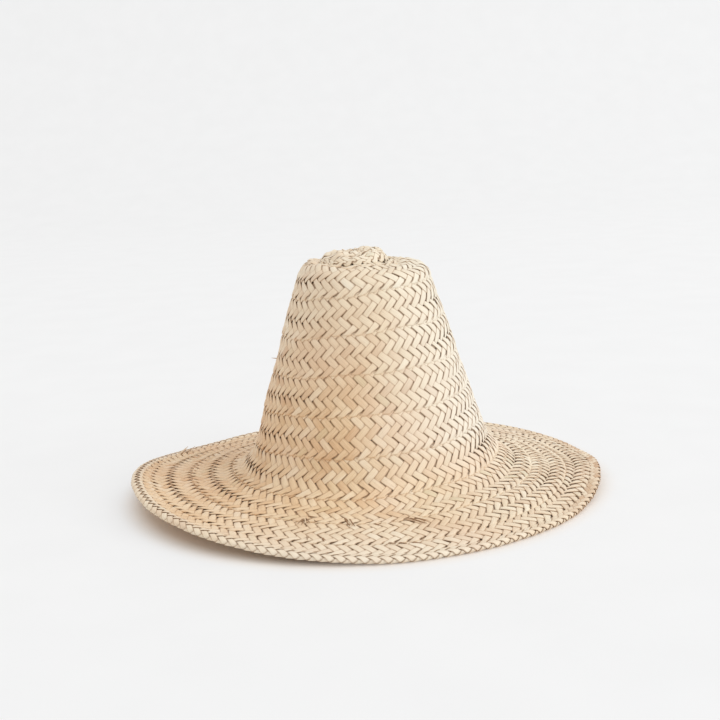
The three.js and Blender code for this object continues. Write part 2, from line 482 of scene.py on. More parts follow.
CELLS = 8
HIDDEN_CELLS = 0.5
PITCH = 2 * PLAIT_WIDTH / (CELLS - HIDDEN_CELLS)
STRIP_WIDTH = PITCH / math.sqrt(2)
BAND = CELLS * PITCH / 2
HIDDEN = HIDDEN_CELLS * PITCH / 2
TIP_EDGE = 13.0
TUCK_DEPTH = 1.9
UNDER_EDGE = -0.6
MIDDLE_LEVEL = 0.1
OVER_EDGE = 0.25
TOOTH = 0.75
TOOTH_DIP = 0.35

# The rows, in cells across the plait, where the strips stand apart, and how far each may do so there.
FIRST_ROW = 0.8
MIDDLE_ROW = 4.6
SEAM_ROW = 7.9
FIRST_SLIT = 0.24
MIDDLE_SLIT = 0.37
SEAM_SLITS = (0.02, 0.12)
STRIP_SHARES = (0.955, 1.0)
ODD_SLIT = 0.14
ODD_SLIT_CHANCE = 0.06
ODD_SLIT_ROWS = (1.5, 7.0)
# Painted shade for depth in the weave: how much more of it in those rows, how much less between them, and
# the rows' spread.
ROW_PAINTED_SHADE = 1.45
BETWEEN_ROWS_PAINTED_SHADE = 0.6
ROW_SPREAD = 0.7

# How arched the strips are on the top, on the crown's wall, on the brim and on the coil.
TOP_TURNS = 2
TOP_PUFF = 1.4
WALL_PUFF = 1.1
BRIM_PUFF = 1.4
COIL_PUFF = 1.3
LOOSE_PUFF = 0.3

WINDING = np.linspace(0, TAU * (LAST_TURN + 1), 3601)


def lower_seam(winding):
    return np.minimum(PLAIT_START + PLAIT_WIDTH * winding / TAU, PLAIT_END)


def upper_seam(winding):
    return np.maximum(lower_seam(winding) - PLAIT_WIDTH, TIP_EDGE)


MIDDLE_RADIUS = np.interp(
    (lower_seam(WINDING) + upper_seam(WINDING)) / 2, OUTLINE_AT, OUTLINE[:, 0]
)
PLAIT_RUN = np.concatenate(
    [[0], np.cumsum((MIDDLE_RADIUS[1:] + MIDDLE_RADIUS[:-1]) / 2 * np.diff(WINDING))]
)


def on_plait(x, y, height):
    """Points of the main plait. Its upper edge dips under the turn before, and its lower edge lies over the
    next one with the teeth of its folds. The last turn slides under the one before it.
    """
    winding = np.interp(x, PLAIT_RUN, WINDING)
    upper = upper_seam(winding)
    lower = lower_seam(winding)
    share = (y - HIDDEN) / (BAND - HIDDEN)
    loops = np.cos(TAU * x / PITCH)
    teeth = TOOTH * loops * ease(share, 0.8, 1.0)
    distance = upper + share * (lower - upper) + teeth
    belly = UNDER_EDGE + (MIDDLE_LEVEL - UNDER_EDGE) * ease(share, -0.06, 0.11)
    belly = belly + (OVER_EDGE - MIDDLE_LEVEL) * ease(share, 0.55, 0.95)
    belly = belly - TOOTH_DIP * ease(share, 0.93, 1.02) * (1 - loops) / 2
    azimuth = math.pi - winding
    covered = PLAIT_START + PLAIT_WIDTH * (winding - TAU) / TAU - distance
    tuck = TUCK_DEPTH * ease(covered, -1.5, 2.5) * (winding > TAU * LAST_TURN)
    distance = distance + sway(azimuth, distance)
    return hat_point(azimuth, distance, height + belly - tuck)


def looseness(x):
    """How far the strips stand apart, from 0 to 1: most at the right, then low down at the left."""
    winding = np.interp(x, PLAIT_RUN, WINDING)
    east = np.sin(winding)
    at_left = 0.35 + 0.45 * ease(winding, TAU, 2 * TAU)
    side = east**2 * np.where(east > 0, 1.2, at_left)
    ripple = 0.6 + 0.25 * np.sin(0.021 * x + 1.0) + 0.15 * np.sin(0.083 * x)
    return np.clip(0.03 + 0.97 * side * ripple, 0, 1)


def plait_looseness(family, index):
    """The looseness at the middle of one strip's traverse."""
    return looseness((index - CELLS / 4 if family == "A" else index + CELLS / 4) * PITCH)


def puffed(even_puff):
    """How arched the strips of one turn are, as a function: more so where they stand apart."""

    def puff(family, index):
        return even_puff * (1 + LOOSE_PUFF * plait_looseness(family, index))

    return puff


def plait_painted_shade(x, y):
    """How much painted shade the depth in the weave gives the leaf: most in the rows where the strips stand
    apart, less between them.
    """
    cell = y / BAND * CELLS
    rows = hump(cell, MIDDLE_ROW, ROW_SPREAD) + hump(cell, FIRST_ROW, ROW_SPREAD)
    return 1 + looseness(x) * (ROW_PAINTED_SHADE * rows - BETWEEN_ROWS_PAINTED_SHADE)


def plait_widths(family, index):
    """Half a strip's width, as a share of a cell, by the cell that it passes."""
    base = 0.5 * rng.uniform(*STRIP_SHARES)
    loose = plait_looseness(family, index)
    seam_slit = rng.uniform(*SEAM_SLITS) * (0.5 + 0.9 * loose)
    odd_slit = ODD_SLIT if rng.uniform() < ODD_SLIT_CHANCE else 0.0
    odd_row = rng.uniform(*ODD_SLIT_ROWS)

    def half(cell):
        middle = MIDDLE_SLIT * hump(cell, MIDDLE_ROW, 0.8)
        first = FIRST_SLIT * hump(cell, FIRST_ROW, 0.5)
        seam = seam_slit * hump(cell, SEAM_ROW, 0.5)
        return base - loose * (middle + first) - seam - odd_slit * hump(cell, odd_row, 0.5)

    return half


# ---------------------------------------------------------------------------------------------------
# The rim's plait: a tube of eight strands, four that wind round it each way, on a flattened section.

RIM_ROUND_CELLS = 8
RIM_CELLS = 152
RIM_LAP = TAU * (RIM_OUTER - 3.5)
RIM_PITCH = RIM_LAP / RIM_CELLS
RIM_SECTION = (3.9, 1.4)
RIM_MIDDLE = (RIM_OUTER - 4.8, 2.45)
RIM_STRIP_WIDTH = 3.9
RIM_WEAVE = 1.75
RIM_PAINTED_SHADE = 0.3
RIM_CAMBER = 0.1
RIM_SQUARENESS = 2.6
RIM_RUN_SHARE = 0.63


def rim_wall(angle):
    """The rim's flattened section at an angle: how far out, and how high."""
    power = 2 / RIM_SQUARENESS
    out = RIM_SECTION[0] * np.sign(np.cos(angle)) * np.abs(np.cos(angle)) ** power
    up = RIM_SECTION[1] * np.sign(np.sin(angle)) * np.abs(np.sin(angle)) ** power
    return out, up


def rim_section(cell):
    """The middle of the rim's wall at a cell round it: radius, height and the outward direction.

    Cell 0.5 is the outer edge, and the cells go up over the top, inwards, and back underneath.
    """
    angle = np.linspace(0, TAU, 721)
    r, z = rim_wall(angle)
    run = np.concatenate([[0], np.cumsum(np.hypot(np.diff(r), np.diff(z)))])
    at = np.interp(((cell - 0.5) % RIM_ROUND_CELLS) / RIM_ROUND_CELLS * run[-1], run, angle)
    r, z = rim_wall(at)
    out = np.stack([r / RIM_SECTION[0] ** 2, z / RIM_SECTION[1] ** 2], axis=-1)
    out /= np.linalg.norm(out, axis=-1, keepdims=True)
    return r, z, out[..., 0], out[..., 1]


def on_rim(x, cell, height):
    """Points of the rim: x is along it, and height is measured outwards from the middle of its wall."""
    azimuth = x / RIM_LAP * TAU
    r, z, out_r, out_z = rim_section(cell)
    radius = RIM_MIDDLE[0] + r + out_r * height + waves(RIM_WAVES, azimuth)
    level = RIM_MIDDLE[1] + z + out_z * height + rim_lift(azimuth)
    return np.stack([radius * np.sin(azimuth), -radius * np.cos(azimuth), level], axis=-1)


def rim_ribbons(rows_per_cell=3):
    """The eight strands. Each goes once round the hat, and closes on itself."""
    ribbons = []
    half = STRIP_THICKNESS / 2
    for family in ("A", "B"):
        for index in range(RIM_ROUND_CELLS // 2):
            own = rng.uniform(0, 1, 3)
            along = (np.arange(2 * RIM_CELLS * rows_per_cell) / rows_per_cell)[:, None]
            width = 0.48 + 0.015 * np.sin(along * 0.31 + index)
            offset = COLUMNS * width
            if family == "A":
                i, j = index + offset + 0 * along, along + 0 * offset
                height = over_under(index + TWIST * offset - along)
            else:
                i, j = along + 0 * offset, index + offset + 0 * along
                height = -over_under(along - index - TWIST * offset)
            height = height * RIM_WEAVE
            height = height - RIM_CAMBER * COLUMNS**2 * (height > 0)
            x = (i + j) * RIM_PITCH / 2
            cell = i - j
            face = half if family == "A" else -half
            stretch = (along[:, 0] / RIM_ROUND_CELLS).astype(int)
            tints = tints_of(own, stretch[-1] + 1)
            run = along[:, 0] * RIM_PITCH * RIM_RUN_SHARE
            # Painted shade for lying deep in the weave, the same all round the rim.
            depth = depths(height / RIM_WEAVE, np.sign(face)) * RIM_PAINTED_SHADE
            front = on_rim(x, cell, height + face)
            back = on_rim(x, cell, height - face)
            ribbons.append((front, back, stretch, run, tints[stretch], depth, True))
    return ribbons


# ---------------------------------------------------------------------------------------------------
# The coil on the tip: a flat plait of two rows of floats, wound in a spiral on a low dome.

COIL_CELLS = 4
COIL_TURNS = 2
COIL_BAND = COIL_RADIUS / COIL_TURNS
COIL_PITCH = 2 * COIL_BAND / COIL_CELLS
COIL_STRIP_WIDTH = COIL_PITCH / math.sqrt(2)
COIL_LIFT = 5.4
COIL_SINK = 1.5
COIL_ROUNDNESS = 4.5
COIL_INNER = (0.4, 1.5)
COIL_LAP = 3.0
COIL_STRIP_SHARES = (0.9, 0.98)
COIL_OUTLINE_WAVES = ((0.04, 3, 0.0, 1.0), (0.03, 7, 0.0, 0.0), (-0.05, 1, 0.0, 0.0))
COIL_KNOTS = ((0.72, 2, 0.25, 0.4), (0.64, 5, -0.4, 0.0), (0.56, 11, 0.5, 2.0))
TOP_SLOPE = (TIP_HEIGHT - SHOULDER[1]) / SHOULDER[0]
COIL_WINDING = np.linspace(0, TAU * (COIL_TURNS + 1), 1441)


def coil_lower(winding):
    return np.clip(COIL_BAND * (winding / TAU), COIL_INNER[1], COIL_RADIUS)


def coil_upper(winding):
    return np.clip(COIL_BAND * (winding / TAU - 1), COIL_INNER[0], COIL_RADIUS - COIL_LAP)


COIL_MIDDLE = (coil_lower(COIL_WINDING) + coil_upper(COIL_WINDING)) / 2
COIL_RUN = np.concatenate(
    [[0], np.cumsum((COIL_MIDDLE[1:] + COIL_MIDDLE[:-1]) / 2 * np.diff(COIL_WINDING))]
)


def on_coil(x, y, height):
    """Points of the coil. It lies on the top's slope as a knotted dome, and its edge tucks in."""
    winding = np.interp(x, COIL_RUN, COIL_WINDING)
    upper = coil_upper(winding)
    lower = coil_lower(winding)
    share = y / COIL_BAND
    azimuth = math.pi - winding
    teeth = np.cos(TAU * x / COIL_PITCH) * ease(share, 0.7, 1.0)
    even_radius = np.maximum(upper + share * (lower - upper) + teeth, 0.15)
    radius = even_radius * (1 + waves(COIL_OUTLINE_WAVES, azimuth))
    east = COIL_CENTRE + radius * np.sin(azimuth)
    north = -radius * np.cos(azimuth)
    rise = 1 - np.minimum(even_radius / (COIL_RADIUS + 1), 1) ** COIL_ROUNDNESS
    below = TIP_HEIGHT - TOP_SLOPE * np.hypot(east - CROWN_OFFSET, north) - COIL_SINK
    dome = rise * (COIL_LIFT + 1.2 * TOP_SLOPE * radius)
    knots = waves(COIL_KNOTS, azimuth, radius) * smooth(rise * 1.6)
    return np.stack([east, north, below + dome + knots + height], axis=-1)


def even_widths(family, index):
    """Half a strip's width, the same all along it."""
    base = 0.5 * rng.uniform(*COIL_STRIP_SHARES)
    return lambda cell: base + 0 * cell


def even_painted_shade(x, y):
    """No painted shade beyond what the depth in the weave gives."""
    return np.ones_like(x)


# ---------------------------------------------------------------------------------------------------
# The lacing: a thin twisted strand of leaf that runs in small stitches inside each seam.

LACING_RADIUS = 0.62
LACING_SECTION = (1.25 * LACING_RADIUS, 0.8 * LACING_RADIUS)
LACING_STRIP_WIDTH = 1.4
LACING_TWIST = 5.0
LACING_STRETCH = 40.0
LACING_TINT_SPREAD = 0.4
LACING_INSET = 0.6
STITCH_HEIGHT = 0.3
SEAM_STITCH = 1.5
END_STITCH = 1.2
POINTS_PER_STITCH = 8


def cord_ribbon(points, inward, tints_own):
    """A closed-section strand along the points, with a flattened section that turns as it goes."""
    tangent = np.gradient(points, axis=0)
    tangent /= np.linalg.norm(tangent, axis=1)[:, None]
    side = np.cross(tangent, inward)
    side /= np.linalg.norm(side, axis=1)[:, None]
    up = np.cross(side, tangent)
    run = np.concatenate([[0], np.cumsum(np.linalg.norm(np.diff(points, axis=0), axis=1))])
    turn = run / LACING_TWIST * math.pi
    angles = np.radians([150.0, 110.0, 70.0, 30.0])

    def ring(at):
        u = LACING_SECTION[0] * np.cos(at)[None, :]
        v = LACING_SECTION[1] * np.sin(at)[None, :]
        cos, sin = np.cos(turn)[:, None], np.sin(turn)[:, None]
        a = (u * cos - v * sin)[..., None]
        b = (u * sin + v * cos)[..., None]
        return points[:, None, :] + a * side[:, None, :] + b * up[:, None, :]

    member = (run / LACING_STRETCH).astype(int)
    tints = tints_of(tints_own, member[-1] + 1, LACING_TINT_SPREAD)
    shallow = np.zeros((len(points), 2 * len(COLUMNS)))
    return ring(angles), ring(-angles), member, run, tints[member], shallow, False


def stitched(first, last, line_at, amplitude):
    """The lacing along a seam: it crosses the seam in stitches on the hat's inner face."""
    windings = np.linspace(first, last, 4001)
    radius = np.interp(line_at(windings), OUTLINE_AT, OUTLINE[:, 0])
    run = np.concatenate([[0], np.cumsum((radius[1:] + radius[:-1]) / 2 * np.diff(windings))])
    count = int(run[-1] / PITCH * POINTS_PER_STITCH)
    x = np.linspace(0, run[-1], count)
    winding = np.interp(x, run, windings)
    phase = TAU * x / PITCH
    distance = line_at(winding) + amplitude * np.sin(phase)
    depth = -PLAIT_THICKNESS / 2 - LACING_INSET + STITCH_HEIGHT * np.cos(2 * phase)
    azimuth = math.pi - winding
    distance = distance + sway(azimuth, distance)
    points = hat_point(azimuth, distance, depth)
    inward = hat_point(azimuth, distance, depth - 1.0) - points
    return cord_ribbon(points, inward, rng.uniform(0, 1, 3))


# ---------------------------------------------------------------------------------------------------
# Stray ends of leaf that stick out of the weave, by the turn of plait that they belong to.
# Each is its azimuth, distance, heading from straight down (degrees), length, width, rise, and the painted
# shade that darkens it.

STRAY_ENDS = {
    "brim_plait_turn_2": (
        (-21, 237, 86, 8.0, 1.0, 0.4, 1.33),
        (-21.5, 238, 44, 11.0, 0.8, 0.6, 1.2),
        (-21.5, 238, 30, 13.0, 1.0, 1.0, 0.0),
        (-21.5, 238, 17, 13.0, 0.8, 0.5, 1.3),
        (-21.5, 238, 3, 11.0, 0.7, 0.5, 1.2),
        (-19, 239, 50, 8.0, 0.8, 0.4, 1.3),
        (-9.4, 234, 26, 15.0, 1.1, 0.4, 1.33),
        (-8.6, 234, 26, 15.0, 1.2, 0.9, 0.1),
        (-7.8, 235, 27, 14.0, 1.1, 0.4, 1.2),
        (0, 243, 48, 6.0, 1.8, 0.4, 1.3),
        (9.4, 240, 44, 9.0, 3.0, 0.3, 0.9),
        (10, 238, 40, 18.0, 1.3, 0.5, 1.33),
        (11, 235, 40, 18.0, 3.0, 1.0, 0.0),
    ),
    "brim_plait_turn_3": (
        (-16, 263, 20, 7.0, 1.2, 0.3, 1.0),
        (-12, 264, 24, 7.0, 1.5, 0.3, 1.33),
        (4, 270, 60, 6.0, 1.3, 0.3, 1.1),
        (6.5, 271, 62, 6.0, 1.3, 0.3, 1.3),
        (9.5, 272, 62, 7.0, 1.4, 0.3, 1.33),
    ),
    "crown_plait_turn_4": ((-92, 122, -70, 6.5, 0.8, 4.5, 0.7),),
    "brim_plait_turn_4": (
        (-112, 283, -80, 24.0, 3.2, 4.2, 0.3),
        (-116, 284, -95, 16.0, 1.6, 3.6, 0.6),
    ),
}

# What all stray ends share: how they narrow, thin out, rise clear of the weave and curl.
STRAY_ROWS = 9
STRAY_NARROWING = 0.85
STRAY_THINNING = 0.6
STRAY_START = 0.3
STRAY_CLEARANCE = 0.7
STRAY_CURL = 1.6
STRAY_CAMBER = 0.15


def stray_end(azimuth, distance, heading, length, width, rise, painted_darkness):
    """One strip end: it leaves the weave, lies out over it, curls up a little and narrows to a point."""
    share = np.linspace(0, 1, STRAY_ROWS)[:, None]
    half = width / 2 * (1 - STRAY_NARROWING * share**2) * COLUMNS
    head = math.radians(heading)
    along = length * share
    right = math.sin(head) * along + math.cos(head) * half
    down = math.cos(head) * along - math.sin(head) * half
    radius = np.interp(distance, OUTLINE_AT, OUTLINE[:, 0])
    height = STRAY_START + STRAY_CLEARANCE * ease(share, 0, 0.25) + rise * share**STRAY_CURL
    height = height - STRAY_CAMBER * COLUMNS**2
    at = math.radians(azimuth) + right / radius
    half_thick = STRIP_THICKNESS / 2 * (1 - STRAY_THINNING * share)
    front = hat_point(at, distance + down, height + half_thick)
    back = hat_point(at, distance + down, height - half_thick)
    tint = np.ones((STRAY_ROWS, 4))
    tint[:, :3] = rng.uniform(0.3, 0.8, 3)
    # Painted shade: the whole end is darkened by the given amount, standing in for the shadow lines among
    # the ends.
    depth = np.full((STRAY_ROWS, 2 * len(COLUMNS)), painted_darkness)
    return front, back, np.zeros(STRAY_ROWS, int), along[:, 0], tint, depth, False


# ---------------------------------------------------------------------------------------------------
# Materials


class Nodes:
    """A material's node tree, with a short way to add nodes and links."""

    def __init__(self, name):
        self.material = bpy.data.materials.new(name)
        self.material.use_nodes = True
        self.tree = self.material.node_tree
        self.tree.nodes.clear()
        self.output = self.tree.nodes.new("ShaderNodeOutputMaterial")
        self.shader = self.tree.nodes.new("ShaderNodeBsdfPrincipled")
        self.link(self.shader.outputs["BSDF"], self.output.inputs["Surface"])

    def link(self, a, b):
        self.tree.links.new(a, b)

    def add(self, kind, inputs=(), **settings):
        node = self.tree.nodes.new(kind)
        for key, value in settings.items():
            setattr(node, key, value)
        for key, value in dict(inputs).items():
            if isinstance(value, bpy.types.NodeSocket):
                self.link(value, node.inputs[key])
            else:
                node.inputs[key].default_value = value
        return node

    def maths(self, operation, a, b=0.0, c=0.0):
        node = self.add("ShaderNodeMath", {0: a, 1: b, 2: c}, operation=operation)
        return node.outputs[0]

    def line(self, value, scale, offset, low=0.0):
        """The value times scale plus offset, kept between low and 1."""
        shifted = self.maths("MULTIPLY_ADD", value, scale, offset)
        return self.add("ShaderNodeClamp", {"Value": shifted, "Min": low}).outputs[0]

    def noise(self, vector, scale, detail=3.0, roughness=0.55):
        node = self.add(
            "ShaderNodeTexNoise",
            {"Vector": vector, "Scale": scale, "Detail": detail, "Roughness": roughness},
        )
        return node.outputs["Fac"]

    def ramp(self, factor, stops):
        node = self.add("ShaderNodeValToRGB", {"Fac": factor})
        elements = node.color_ramp.elements
        while len(elements) < len(stops):
            elements.new(0.5)
        for element, (position, colour) in zip(elements, stops):
            element.position = position
            element.color = (*colour, 1.0)
        return node.outputs["Color"]

    def mix(self, factor, a, b, blend="MIX"):
        node = self.add("ShaderNodeMix", data_type="RGBA", blend_type=blend)
        for socket, value in ((0, factor), (6, a), (7, b)):
            if isinstance(value, bpy.types.NodeSocket):
                self.link(value, node.inputs[socket])
            elif socket == 0:
                node.inputs[socket].default_value = value
            else:
                node.inputs[socket].default_value = (*value, 1.0)
        return node.outputs[2]


def srgb(r, g, b):
    """A colour in 0 to 255 screen numbers, as the shader's linear numbers."""
    return tuple(
        c / 12.92 if c <= 0.04045 else ((c + 0.055) / 1.055) ** 2.4 for c in (r / 255, g / 255, b / 255)
    )


# The leaf's tones from dark to pale, and the colours that it turns to in places, some of them painted light
# and shade.
TONES = [
    (0.3, srgb(222, 188, 148)),
    (0.44, srgb(234, 206, 168)),
    (0.58, srgb(241, 219, 185)),
    (0.72, srgb(247, 232, 206)),
]
STREAKS = [(0.3, (0.8, 0.76, 0.7)), (0.52, (1, 1, 1)), (0.75, (1.0, 0.98, 0.94))]
VEINS = [(0.36, (0.62, 0.52, 0.42)), (0.44, (1, 1, 1))]
ROSY = srgb(232, 193, 158)
GREEN_LEAF = srgb(214, 201, 160)
BROWN_LEAF = srgb(204, 158, 116)
# Painted warm shade; a pale tone for painted light and the rim's paler leaf; a painted highlight; a brown
# for patches at the far right; painted shade at the strips' edges and deep in the weave.
PAINTED_WARM_SHADE = srgb(222, 172, 124)
PALE_AND_PAINTED_LIGHT = srgb(243, 238, 225)
PAINTED_HIGHLIGHT_GREEN = srgb(237, 238, 222)
FAR_RIGHT_BROWN = srgb(190, 146, 104)
PAINTED_EDGE_SHADE = srgb(166, 124, 86)
PAINTED_WEAVE_SHADE = srgb(136, 94, 56)


def along_strip(n, across, along, scale_across, scale_along, seed, detail, roughness):
    """Noise drawn out along the strip: its scales are in waves per millimetre."""
    at = n.add(
        "ShaderNodeCombineXYZ",
        {
            "X": n.maths("MULTIPLY", across, scale_across),
            "Y": n.maths("MULTIPLY", along, scale_along),
            "Z": seed,
        },
    ).outputs["Vector"]
    return n.noise(at, 1.0, detail, roughness)


def strip_colour(n, where, shade, hue, stain, fibres, veins, blotches):
    """A strip's own colour: its tone, some of it rosy, green or brown, streaked along its fibres."""
    patches = n.noise(where, 26.0, 2.0, 0.5)
    tone = n.maths("MULTIPLY_ADD", shade, 0.34, n.maths("MULTIPLY", blotches, 0.3))
    tone = n.maths("MULTIPLY_ADD", patches, 0.36, tone)
    colour = n.ramp(tone, TONES)
    rosy = n.line(n.noise(where, 17.0, 1.0, 0.5), 3.0, -1.45)
    colour = n.mix(n.maths("MULTIPLY", rosy, 0.5), colour, ROSY)
    colour = n.mix(n.maths("MULTIPLY", n.line(hue, 4.0, -3.1), 0.6), colour, GREEN_LEAF)
    colour = n.mix(n.maths("MULTIPLY", n.line(stain, 5.0, -3.9), 0.5), colour, BROWN_LEAF)
    colour = n.mix(0.55, colour, n.ramp(fibres, STREAKS), "MULTIPLY")
    return n.mix(0.45, colour, n.ramp(veins, VEINS), "MULTIPLY")


def colour_by_place_and_painted_light(n, where, colour, stain, warm, bleached, far_right_brown):
    """The strip's colour changed by its place on the hat, in metres from the middle of the rim's circle.

    It gets warmer painted shade to the left and low down, and painted light at the right, with a painted
    highlight, palest and a little green, high up at the right. It is also paler high up and in front,
    and browner in patches at the far right.
    """
    spot = n.add("ShaderNodeSeparateXYZ", {"Vector": where}).outputs
    # Painted warm shade: warmer and darker to the left and low down, standing in for the shade and the warm
    # bounce light from the brim there.
    left_and_low = n.maths("MULTIPLY", n.line(spot["X"], -5.0, 0.55), n.line(spot["Z"], -4.5, 1.0))
    colour = n.mix(n.maths("MULTIPLY", left_and_low, warm), colour, PAINTED_WARM_SHADE)
    # Painted light: paler at the right, more so higher up, where the light falls. The leaf is also paler
    # high up and in front, and all over by the bleached share.
    raised = n.line(spot["Z"], 25.0, -0.25, 0.35)
    right = n.maths("MULTIPLY", n.line(spot["X"], 9.0, 0.1), raised)
    high = n.line(spot["Z"], 9.0, -0.6)
    front = n.line(spot["Y"], -16.0, -1.8)
    pale = n.maths("MAXIMUM", n.maths("MULTIPLY", right, 0.92), n.maths("MULTIPLY", high, 0.35))
    pale = n.maths("MAXIMUM", pale, n.maths("MULTIPLY", front, 0.5))
    colour = n.mix(n.maths("MAXIMUM", pale, bleached), colour, PALE_AND_PAINTED_LIGHT)
    # Painted highlight: palest and a little green high up at the right.
    right_and_high = n.maths("MULTIPLY", right, high)
    colour = n.mix(n.maths("MULTIPLY", right_and_high, 0.6), colour, PAINTED_HIGHLIGHT_GREEN)
    # Browner in patches at the far right, where the strip's stain is high.
    far_right = n.line(spot["X"], 18.0, -2.2)
    brown_patch = n.maths("MULTIPLY", far_right, n.maths("MULTIPLY_ADD", stain, 2.4, -0.7))
    brown_patch = n.line(brown_patch, far_right_brown, 0.0)
    return n.mix(n.maths("MULTIPLY", brown_patch, 0.7), colour, FAR_RIGHT_BROWN)


def leaf_material(name, warm, strip_width, bleached=0.0, far_right_brown=0.0):
    """Dry palm leaf: tones across the strips, fibres along them, painted shade at their edges and deep in
    the weave, and a satin face.

    It has warmer painted shade to the left and low down, and painted light at the right. It is paler in
    front and high up, or all over where it is bleached. It has a painted highlight, palest and a little
    green, high up at the right, and it is browner in patches at the far right.
    """
    n = Nodes(name)
    tint = n.add("ShaderNodeAttribute", attribute_name="tint")
    shade, hue, stain = n.add("ShaderNodeSeparateColor", {"Color": tint.outputs["Color"]}).outputs
    uv = n.add("ShaderNodeUVMap", uv_map="strand").outputs["UV"]
    flat = n.add("ShaderNodeSeparateXYZ", {"Vector": uv})
    across, along = flat.outputs["X"], flat.outputs["Y"]
    fibres = along_strip(n, across, along, 3.2, 0.06, hue, 4.0, 0.6)
    veins = along_strip(n, across, along, 9.0, 0.12, shade, 2.0, 0.5)
    blotches = along_strip(n, across, along, 0.25, 0.09, stain, 2.0, 0.5)

    where = n.add("ShaderNodeTexCoord").outputs["Object"]
    colour = strip_colour(n, where, shade, hue, stain, fibres, veins, blotches)
    colour = colour_by_place_and_painted_light(n, where, colour, stain, warm, bleached, far_right_brown)
    # Painted shade along each strip's edges, where the floats meet.
    from_middle = n.maths("DIVIDE", n.maths("ABSOLUTE", across), strip_width / 2)
    edge = n.line(n.maths("SUBTRACT", from_middle, 0.72), 4.0, 0.0)
    colour = n.mix(n.maths("MULTIPLY", edge, 0.6), colour, PAINTED_EDGE_SHADE)
    # Painted shade where the strip lies deep in the weave, from the tint's alpha.
    colour = n.mix(n.maths("MULTIPLY", tint.outputs["Alpha"], 0.66), colour, PAINTED_WEAVE_SHADE)

    rough = n.maths("MULTIPLY_ADD", fibres, 0.25, 0.42)
    ridge = n.maths("ADD", n.maths("MULTIPLY", veins, 0.6), n.maths("MULTIPLY", fibres, 0.8))
    bump = n.add("ShaderNodeBump", {"Height": ridge, "Strength": 0.35, "Distance": 0.0002})
    n.link(colour, n.shader.inputs["Base Color"])
    n.link(rough, n.shader.inputs["Roughness"])
    n.link(bump.outputs["Normal"], n.shader.inputs["Normal"])
    n.shader.inputs["Specular IOR Level"].default_value = 0.35
    n.shader.inputs["Sheen Weight"].default_value = 0.08
    n.shader.inputs["Sheen Roughness"].default_value = 0.4
    return n.material


# The second number is how much painted warm shade each gets to the left and low down.
CROWN_LEAF = leaf_material("crown_leaf", 0.45, STRIP_WIDTH)
BRIM_LEAF = leaf_material("brim_leaf", 0.25, STRIP_WIDTH)
RIM_LEAF = leaf_material("rim_leaf", 0.1, RIM_STRIP_WIDTH, bleached=0.3, far_right_brown=1.0)
TIP_LEAF = leaf_material("tip_leaf", 0.2, COIL_STRIP_WIDTH)
LACING_LEAF = leaf_material("lacing_leaf", 0.3, LACING_STRIP_WIDTH)


# ---------------------------------------------------------------------------------------------------
# The pieces


def settle(piece, node):
    """The piece stands for a CAD node and moves with the hat's one body."""
    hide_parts(node)
    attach(piece, "root")


def part_of(turn, stem):
    """The name of a turn's CAD node: the crown's turns are counted first, then the brim's."""
    if turn < CROWN_TURNS:
        return f"crown_{stem}_{turn + 1}"
    return f"brim_{stem}_{turn - CROWN_TURNS + 1}"


def plait_piece(turn):
    """One full turn of the plait, with the stray ends that belong to it."""
    crown = turn < CROWN_TURNS
    node = part_of(turn, "plait_turn")
    ends = np.interp([TAU * turn, TAU * (turn + 1)], WINDING, PLAIT_RUN)
    puff = puffed(TOP_PUFF if turn < TOP_TURNS else WALL_PUFF if crown else BRIM_PUFF)
    ribbons = woven(ends, CELLS, PITCH, BAND, on_plait, plait_widths, puff, plait_painted_shade)
    ribbons += [stray_end(*end) for end in STRAY_ENDS.get(node, ())]
    piece = ribbon_object(f"{node}_woven", ribbons, CROWN_LEAF if crown else BRIM_LEAF, STRIP_WIDTH)
    settle(piece, node)


def lacing_piece(node, ribbon):
    piece = ribbon_object(f"{node}_strand", [ribbon], LACING_LEAF, LACING_STRIP_WIDTH)
    settle(piece, node)


def end_seam(distance):
    """A seam that stays at one distance down the hat, all the way round."""
    return lambda winding: distance + 0 * winding


def rim_piece():
    piece = ribbon_object("rim_plait_woven", rim_ribbons(), RIM_LEAF, RIM_STRIP_WIDTH)
    settle(piece, "rim_plait")


def coil_piece():
    span = (0.0, float(COIL_RUN[-1]))
    ribbons = woven(
        span,
        COIL_CELLS,
        COIL_PITCH,
        COIL_BAND,
        on_coil,
        even_widths,
        lambda family, index: COIL_PUFF,
        even_painted_shade,
    )
    piece = ribbon_object("tip_coil_woven", ribbons, TIP_LEAF, COIL_STRIP_WIDTH)
    settle(piece, "tip_coil")


for turn in range(LAST_TURN + 1):
    plait_piece(turn)
for turn in range(LAST_TURN):
    seam = stitched(TAU * turn, TAU * (turn + 1), lower_seam, SEAM_STITCH)
    lacing_piece(part_of(turn, "seam_lacing"), seam)
lacing_piece("tip_lacing", stitched(0, TAU, end_seam(PLAIT_START + 1), END_STITCH))
lacing_piece("rim_lacing", stitched(0, TAU, end_seam(PLAIT_END - 1), END_STITCH))
rim_piece()
coil_piece()


# ---------------------------------------------------------------------------------------------------
# Camera, light and floor


CAMERA_PITCH = math.radians(11.35)
CAMERA_ROLL = math.radians(3.0)
CAMERA_LENS = 55.4
CAMERA_SENSOR = 36
CAMERA_AWAY = 888.0
CAMERA_RAISED = 89.3
CAMERA_AIM = Vector((-0.2, 0, 7.0))


